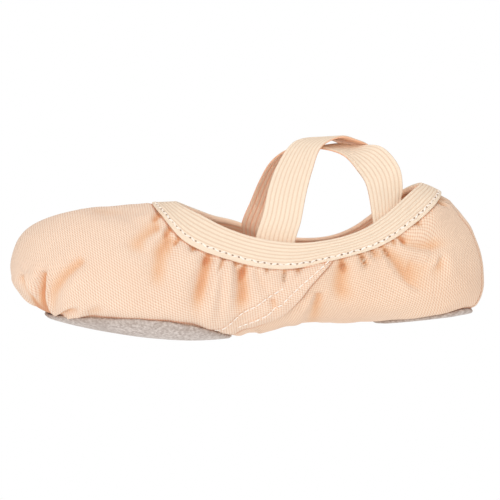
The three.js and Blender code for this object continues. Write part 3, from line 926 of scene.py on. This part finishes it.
def panel_grid(w, first, last, stations):
    """Rows of a panel's stations, evenly spaced along the cloth in each column, and the last's points and
    normals there."""
    bunch = np.linspace(-1, 1, 400)
    fine = np.concatenate([
        np.linspace(0, END, 1500), THROAT_ROW + bunch ** 3 * 0.8, HEEL_ROW + bunch ** 3 * 0.8])
    fine = np.unique(np.clip(fine, ROW_MARGIN, END - ROW_MARGIN))
    rows = np.zeros((stations, len(w)))
    for j, place in enumerate(w):
        s = along_line(last_point(fine, panel_swing(fine, place)))
        ends = np.interp([first[j], last[j]], fine, s)
        rows[:, j] = np.interp(np.linspace(ends[0], ends[1], stations), s, fine)
    return rows, *surface(rows, panel_swing(rows, w[None, :]))


def cloth_lengths(base, middle):
    """Lengths along and round the cloth at each vertex, from a place along the shoe and from the bottom line,
    and the length along it from the first station."""
    step_along = np.linalg.norm(np.diff(base, axis=0), axis=-1)
    u = np.vstack([np.zeros((1, base.shape[1])), np.cumsum(step_along, 0)])
    start = np.array([np.interp(middle, base[:, j, 0], u[:, j]) for j in range(base.shape[1])])
    step_round = np.linalg.norm(np.diff(base, axis=1), axis=-1)
    v = np.hstack([np.zeros((base.shape[0], 1)), np.cumsum(step_round, 1)])
    v -= v[:, base.shape[1] // 2][:, None]
    return np.stack([u - start[None, :], np.abs(v)], -1), u


def heel_lengths(base, uv, middle):
    """Cloth lengths that go level round the back of the heel instead of meeting at its tip."""
    x, y, z = np.moveaxis(base, -1, 0)
    turn = np.arctan2(np.maximum(x - HEEL_CENTRE, 0), np.abs(y - HEEL_SEAM) + 1e-6)
    radius = np.where(y < HEEL_SEAM, HEEL_HALF + HEEL_SEAM, HEEL_HALF - HEEL_SEAM)
    level = np.minimum(x, HEEL_CENTRE) - middle + radius * turn
    side = (np.abs(x - HEEL_CENTRE + 12) < 4) & (np.abs(z - 25) < 6)
    rise = z + float(np.mean((uv[..., 1] - z)[side]))
    share = smooth(x, HEEL_CENTRE - 16, HEEL_CENTRE + 2)[..., None]
    return uv * (1 - share) + np.stack([level, rise], -1) * share


def lap_share(z):
    """The lap over the rear panel flattens towards the floor."""
    return 0.2 + 0.8 * smooth(z, 5, 13)


def front_panel():
    """Canvas from the toe to the arch seam, where it laps over the rear panel."""
    w = np.linspace(-1, 1, 273)
    rows, base, normals = panel_grid(w, np.full(len(w), ROW_MARGIN), seam_row(w, 0.0), 241)
    depth, fold, line = cloth_depth(base)
    uv, u = cloth_lengths(base, FRONT_MIDDLE)
    to_edge = u[-1] - u
    lap = LAP * (1 - smooth(to_edge, 9, 17)) - 0.5 * bell(to_edge, 0.5)
    side_view = side_places(base)
    lap *= smooth(below_band(side_view), -3, 3).reshape(depth.shape) * lap_share(base[..., 2])
    for row in ARCH_STITCHES:
        d, _, share = to_line(side_view, np.array(row, float))
        lap -= 0.4 * (bell(d, 0.7) * smooth(share, -0.01, 0.04)).reshape(depth.shape)
    closed = rows[:, 0] <= THROAT_ROW
    return shell("front_panel", base, lap - depth, normals, uv, fold, line, closed, True, FRONT_CANVAS)


def rear_panel():
    """Canvas from under the front panel's lap to the heel."""
    w = np.linspace(-1, 1, 201)
    rows, base, normals = panel_grid(w, seam_row(w, -UNDERLAP), np.full(len(w), END - ROW_MARGIN), 191)
    depth, fold, line = cloth_depth(base)
    uv = heel_lengths(base, cloth_lengths(base, REAR_MIDDLE)[0], REAR_MIDDLE)
    past_seam, _, _ = to_line(side_places(base), ARCH_SEAM)
    # Painted shade also along the arch seam, under the front panel's lap
    line = np.minimum(line, 0.6 * past_seam.reshape(line.shape))
    closed = rows[:, 0] >= HEEL_ROW
    return shell("rear_panel", base, -depth, normals, uv, fold, line, closed, False, REAR_CANVAS)


for panel in (front_panel(), rear_panel()):
    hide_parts("upper")


# Band


def band_profile():
    """Places round the folded elastic as share across the band, distance out, and depth in a rib's groove,
    which sets the painted shade there.
    """
    def ribs(share):
        groove = bell((share * BAND_RIBS + 0.5) % 1 - 0.5, 0.16)
        return groove * (1 - smooth(share, 0.74, 0.8))

    outer = np.linspace(1, 0.07, 80)
    rows = [(d, BAND_OUT - 0.13 * g - 0.35 * smooth(d, 0.97, 1), g) for d, g in zip(outer, ribs(outer))]
    middle = (BAND_OUT + BAND_IN) / 2
    spread = (BAND_OUT - BAND_IN) / 2
    for angle in np.linspace(0, math.pi, 11)[1:-1]:
        rows.append((0.07 - 0.07 * math.sin(angle), middle + spread * math.cos(angle), 0.0))
    inner = np.linspace(0.07, 1, 45)
    rows += [(d, BAND_IN + 0.12 * g, g) for d, g in zip(inner, ribs(inner))]
    rows += [(1, -1.6, 0.0), (0.5, -1.6, 0.0), (0.1, -1.6, 0.0)]
    rows += [(0.1, 0.3, 0.0), (0.5, 0.3, 0.0), (1, 0.3, 0.0)]
    return rows


def band_ring(share, out, count):
    """Closed ring of points along the band at a share across it and a distance out, near side first."""
    x, z = band_place(share, band_path(share, count))
    wobble = 0.1 * np.sin(np.linspace(0, 57, count)) + 0.08 * np.sin(np.linspace(1, 139, count))
    out = out + wobble * share * (out > 0)
    near = wall(x, z, -1, out)
    far = wall(x, z, 1, out)
    near[[0, -1], 1] = 0
    return np.vstack([near, far[-2:0:-1]])


def collar_band():
    """Ribbed elastic folded over the collar edge, as one closed tube of rings."""
    count = 211
    rows = band_profile()
    rings = np.array([band_ring(d, o, count) for d, o, _ in rows])
    length = along_line(np.vstack([rings[40], rings[40][:1]]))
    n, m = rings.shape[:2]
    index = np.arange(n * m).reshape(n, m)
    index = np.hstack([index, index[:, :1]])
    index = np.vstack([index, index[:1]])
    across = BAND_WIDTH * np.array([r[0] for r in rows])
    uv = np.stack([np.tile(length[:-1], (n, 1)), np.tile(across[:, None], (1, m))], -1)
    # Groove depth sets the painted groove shade, and the inner faces carry the painted light
    values = {
        "fold": np.repeat([r[2] for r in rows], m),
        "inside": np.repeat([float(r[1] < -0.5) for r in rows], m),
    }
    return link("collar_band", rings.reshape(-1, 3), grid_faces(index), ELASTIC, uv.reshape(-1, 2), values)


def band_stitches():
    """White stitches, turned to and fro, along the foot of the band, and dark marks of painted shade for the
    needle holes between them.
    """
    x, z = band_place(BAND_STITCH["share"], band_path(BAND_STITCH["share"], 2000))
    pitch = BAND_STITCH["pitch"]
    rows, holes = [], []
    for side in (-1, 1):
        line = wall(x, z, side, np.full(len(x), BAND_OUT + 0.02))
        s = along_line(line)
        count = int(s[-1] / pitch)
        places = (np.arange(count) + 0.5) * s[-1] / count
        rows.append(stitch_row(line, last_normal(*wall_swing(x, z, side)), places, 8))
        holes.append(line[np.searchsorted(s, np.clip(places + pitch / 2, 0, s[-1]) - 1e-6)])
    centres, ways, outs = (np.vstack(column) for column in zip(*rows))
    turns = math.radians(BAND_STITCH["turn"]) * np.where(np.arange(len(ways)) % 2, 1, -1)[:, None]
    turned = ways * np.cos(turns) + np.cross(outs, ways) * np.sin(turns)
    size = BAND_STITCH["length"], BAND_STITCH["radius"]
    stitches = tubes("band_stitches", centres, turned, outs, *size, THREAD)
    marks = tubes("band_needle_hole_painted_shade", np.vstack(holes), ways, outs, *NEEDLE_MARK, NEEDLE_HOLE_PAINTED_SHADE, flat=0.35)
    return stitches, marks


band = collar_band()
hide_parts("collar_binding")
for piece in band_stitches():
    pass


# Straps


def centripetal(points, count):
    """Centripetal Catmull-Rom line with count steps evenly spaced in its own parameter."""
    points = np.asarray(points, float)
    rows = np.vstack([2 * points[0] - points[1], points, 2 * points[-1] - points[-2]])
    t = np.linspace(0, len(points) - 1, count)
    a, b, c, d, f = spans(rows, t)
    g0, g1, g2 = (np.sqrt(np.linalg.norm(q - p, axis=1))[:, None] for p, q in ((a, b), (b, c), (c, d)))
    slope_b = ((b - a) / g0 - (c - a) / (g0 + g1) + (c - b) / g1) * g1
    slope_c = ((c - b) / g1 - (d - b) / (g1 + g2) + (d - c) / g2) * g1
    bend = 3 * (c - b) - 2 * slope_b - slope_c
    return b + f * (slope_b + f * (bend + f * (2 * (b - c) + slope_b + slope_c)))


def strap_points(strap, across, count):
    """One lengthwise line of a strap, across at -1 to 1 of its half width."""
    side, front_x, rear_x, rear_turn, rows = strap
    shift = across * STRAP_WIDTH / 2
    collar = band_line(0)

    def tucked(end_x, end_side, turn):
        x = np.full(3, end_x - side * shift * turn)
        z = np.interp(x, collar[:, 0], collar[:, 1]) - np.array([STRAP_TUCK, STRAP_TUCK / 2, 0])
        base, normal = surface(*wall_swing(x, z, 1))
        y = base[:, 1] - STRAP_DEPTH / normal[:, 1]
        return np.stack([x, end_side * y, z], -1)

    middle = np.array([r[:3] for r in rows], float)
    outward = np.array([r[3:] for r in rows], float)
    after = np.vstack([middle[1:], middle[-1:]])
    before = np.vstack([middle[:1], middle[:-1]])
    free = middle + shift * unit(np.cross(after - before, outward))
    rear = tucked(rear_x, -side, rear_turn)[::-1]
    return centripetal(np.vstack([tucked(front_x, side, 1), free, rear]), count)


def strap_piece(name, strap):
    """Ribbed elastic strap with its two ends tucked inside the band."""
    count, lines = 241, STRAP_RIBS * 8 + 1
    across = np.linspace(-1, 1, lines)
    net = np.array([strap_points(strap, a, count) for a in across]).transpose(1, 0, 2)
    normal = unit(np.cross(np.gradient(net, axis=1), np.gradient(net, axis=0)))
    pitch = STRAP_WIDTH / STRAP_RIBS
    at = (across + 1) / 2 * STRAP_WIDTH
    groove = bell(((at / pitch + 0.5) % 1 - 0.5) * pitch, 0.3)
    half = STRAP_THICK / 2 - 0.16 * groove - 0.25 * (np.abs(across) > 0.995)
    top = net + half[None, :, None] * normal
    under = net - half[None, :, None] * normal
    length = along_line(net[:, lines // 2])
    uv = np.stack(np.meshgrid(length, at, indexing="ij"), -1).reshape(-1, 2)
    fold = np.tile(groove, count)
    index = np.arange(count * lines).reshape(count, lines)
    low = index + count * lines
    faces = grid_faces(index) + grid_faces(low, True)
    sides = [(index[:, 0], low[:, 0]), (index[:, -1], low[:, -1]), (index[0], low[0]), (index[-1], low[-1])]
    for edge, other in sides:
        faces += [(edge[k], edge[k + 1], other[k + 1], other[k]) for k in range(len(edge) - 1)]
    points = np.vstack([top.reshape(-1, 3), under.reshape(-1, 3)])
    # Groove depth sets the painted groove shade, and the under faces carry the painted light
    values = {"fold": np.concatenate([fold, fold]), "inside": np.repeat([0.0, 1.0], len(fold))}
    made = link(name, points, faces, ELASTIC, np.vstack([uv, uv]), values)
    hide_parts(name.replace("_band", ""))
    return made


strap_piece("strap_over_band", STRAP_OVER)
strap_piece("strap_under_band", STRAP_UNDER)


# Soles and sock


def patch_piece(name, outline, low_out, high_out, material, rings, spokes, ragged, stands):
    """Cut piece in the shape of a plan outline that lies along the last's bottom."""
    front, wide, rear, half, front_power, rear_power = outline
    angle = np.arange(spokes) / spokes * 2 * math.pi
    cos, sin = np.cos(angle), np.sin(angle)
    power = np.where(cos < 0, front_power, rear_power)
    r = (np.abs(cos) ** power + np.abs(sin) ** power) ** (-1 / power)
    ripple = 0.5 * np.sin(7 * angle + 1) + 0.3 * np.sin(17 * angle) + 0.2 * np.sin(41 * angle + 2)
    uneven = 1 + ragged * ripple
    edge_x = wide + np.where(cos < 0, wide - front, rear - wide) * r * cos * uneven
    edge_y = half * r * sin * uneven
    share = np.linspace(0, 1, rings + 1)[1:] ** 0.9
    x = wide + share[:, None] * (edge_x - wide)
    y = share[:, None] * edge_y
    base, normal = surface(*floor_swing(x, y))
    rounding = 0.35 * (high_out - low_out) * smooth(share, 0.97, 1.0)[:, None]
    waves = 2.16 * ragged * np.sin(base[..., 0] / 3.1 + base[..., 1] / 4.7) * (share[:, None] > 0.5)
    outer = base + (high_out - rounding - waves)[..., None] * normal
    inner = base + low_out * normal
    centre, up = surface(*floor_swing(np.array(float(wide)), np.array(0.0)))
    ends = [centre + high_out * up, centre + low_out * up]
    points = np.vstack([outer.reshape(-1, 3), inner.reshape(-1, 3), *ends])
    if stands:
        points[:, 2] = np.maximum(points[:, 2], 0)
        lower = slice(rings * spokes, 2 * rings * spokes)
        points[lower, 2] = np.maximum(points[lower, 2], SUEDE_FLOOR)
        points[-1, 2] = max(points[-1, 2], SUEDE_FLOOR)
    index = np.arange(rings * spokes).reshape(rings, spokes)
    index = np.hstack([index, index[:, :1]])
    low = index + rings * spokes
    faces = grid_faces(index) + grid_faces(low, True)
    top, under = len(points) - 2, len(points) - 1
    for j in range(spokes):
        faces.append([top, index[0, j], index[0, j + 1]])
        faces.append([under, low[0, j], low[0, j + 1]])
        faces.append([index[-1, j], index[-1, j + 1], low[-1, j + 1], low[-1, j]])
    # Share towards the edge, where the colour is darker
    darkening = np.repeat(smooth(share, 0.9, 1.0), spokes)
    fold = np.concatenate([darkening, darkening, [0, 0]])
    return link(name, points, faces, material, points[:, :2], {"fold": fold})


# Cut pieces: name, node, slot, outline, inner and outer distance from the last, material, rings, spokes,
# how ragged the edge is, and whether it stands on the floor
SUEDE_OUT = SUEDE_GAP + SUEDE_THICK
for name, node, slot, *cut in (
    ("forefoot_suede", "forefoot_sole", "suede", FOREFOOT_PATCH, SUEDE_GAP, SUEDE_OUT, SUEDE, 80, 300, 0.008,
     True),
    ("heel_suede", "heel_sole", "suede", HEEL_PATCH, SUEDE_GAP, SUEDE_OUT, SUEDE, 50, 220, 0.01, True),
    ("sock_lining", "insole", "sock", SOCK, SOCK_UNDER, SOCK_TOP, SOCK_CLOTH, 60, 200, 0.0, False),
):
    patch = patch_piece(name, *cut)
    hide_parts(node)


# Arch seam stitches


def seam_stitches():
    """White stitches of the arch seam: the first row lies on the lap and the second ahead of it."""
    rows = []
    for row_number, line in enumerate(ARCH_STITCHES):
        fine = curve_through(line, 12)
        for side in (-1, 1):
            base, normal = surface(*wall_swing(fine[:, 0], fine[:, 1], side))
            depth = cloth_depth(base)[0]
            out = (LAP * lap_share(base[:, 2]) - 0.2 if row_number == 0 else 0.1) - depth
            path = base + out[:, None] * normal
            places = np.arange(ARCH_STITCH["pitch"] / 2, along_line(path)[-1], ARCH_STITCH["pitch"])
            rows.append(stitch_row(path, normal, places, 1))
    columns = [np.vstack(column) for column in zip(*rows)]
    return tubes("arch_stitches", *columns, ARCH_STITCH["length"], ARCH_STITCH["radius"], THREAD)


seam_stitches()


# Stage, lights and camera


def glowing():
    """Plain white that shines evenly."""
    material = bpy.data.materials.new("white")
    material.use_nodes = True
    tree = material.node_tree
    tree.nodes.remove(tree.nodes["Principled BSDF"])
    glow = tree.nodes.new("ShaderNodeEmission")
    glow.inputs["Color"].default_value = (1, 1, 1, 1)
    glow.inputs["Strength"].default_value = 1.0
    tree.links.new(glow.outputs[0], tree.nodes["Material Output"].inputs["Surface"])
    return material


def stage_piece(name, mesh, material):
    mesh.materials.append(material)
    made = add(name, mesh)
    return made


def stage():
    """White floor, and a white dome round it that lights nothing."""
    white = glowing()
    floor = bpy.data.meshes.new("floor")
    corners = [(-1, -1), (1, -1), (1, 1), (-1, 1)]
    floor.from_pydata([(x * FLOOR_HALF, y * FLOOR_HALF, -FLOOR_DROP) for x, y in corners], [], [(0, 1, 2, 3)])
    stage_piece("floor", floor, white)
    dome = bpy.data.meshes.new("dome")
    work = bmesh.new()
    bmesh.ops.create_uvsphere(work, u_segments=48, v_segments=24, radius=DOME_RADIUS)
    work.to_mesh(dome)
    work.free()
    backdrop = stage_piece("backdrop", dome, white)
    for ray in ("diffuse", "glossy", "transmission", "shadow"):
        setattr(backdrop, "visible_" + ray, False)


def lamp(name, place, aim_height, size, watts):
    light = bpy.data.lights.new(name, "AREA")
    light.shape = "DISK"
    light.size = size
    light.energy = watts
    made = add(name, light)
    made.location = place
    made.rotation_euler = (Vector((0, 0, aim_height)) - Vector(place)).to_track_quat("-Z", "Y").to_euler()


def camera():
    """Camera on the near side, turned round its own line of sight by the roll."""
    azimuth, rise, roll = (math.radians(a) for a in CAMERA_TURNS)
    turn = Matrix.Rotation(azimuth, 4, "Z") @ Matrix.Rotation(math.pi / 2 - rise, 4, "X")
    turn = turn @ Matrix.Rotation(-roll, 4, "Z")
    data = bpy.data.cameras.new("camera")
    data.sensor_width = SENSOR
    data.lens = SENSOR * CAMERA_DISTANCE / (PICTURE * PIXEL * MM)
    data.clip_start = 0.01
    data.clip_end = 50
    made = add("camera", data)
    made.matrix_world = Matrix.Translation(CAMERA_AIM) @ turn @ Matrix.Translation((0, 0, CAMERA_DISTANCE))
    bpy.context.scene.camera = made


stage()
for lamp_row in LAMPS:
    lamp(*lamp_row)
world = bpy.data.worlds.new("studio")
world.use_nodes = True
background = world.node_tree.nodes["Background"]
background.inputs["Color"].default_value = (1, 1, 1, 1)
background.inputs["Strength"].default_value = WORLD_LIGHT
bpy.context.scene.world = world
bpy.context.scene.view_settings.view_transform = "Standard"
camera()
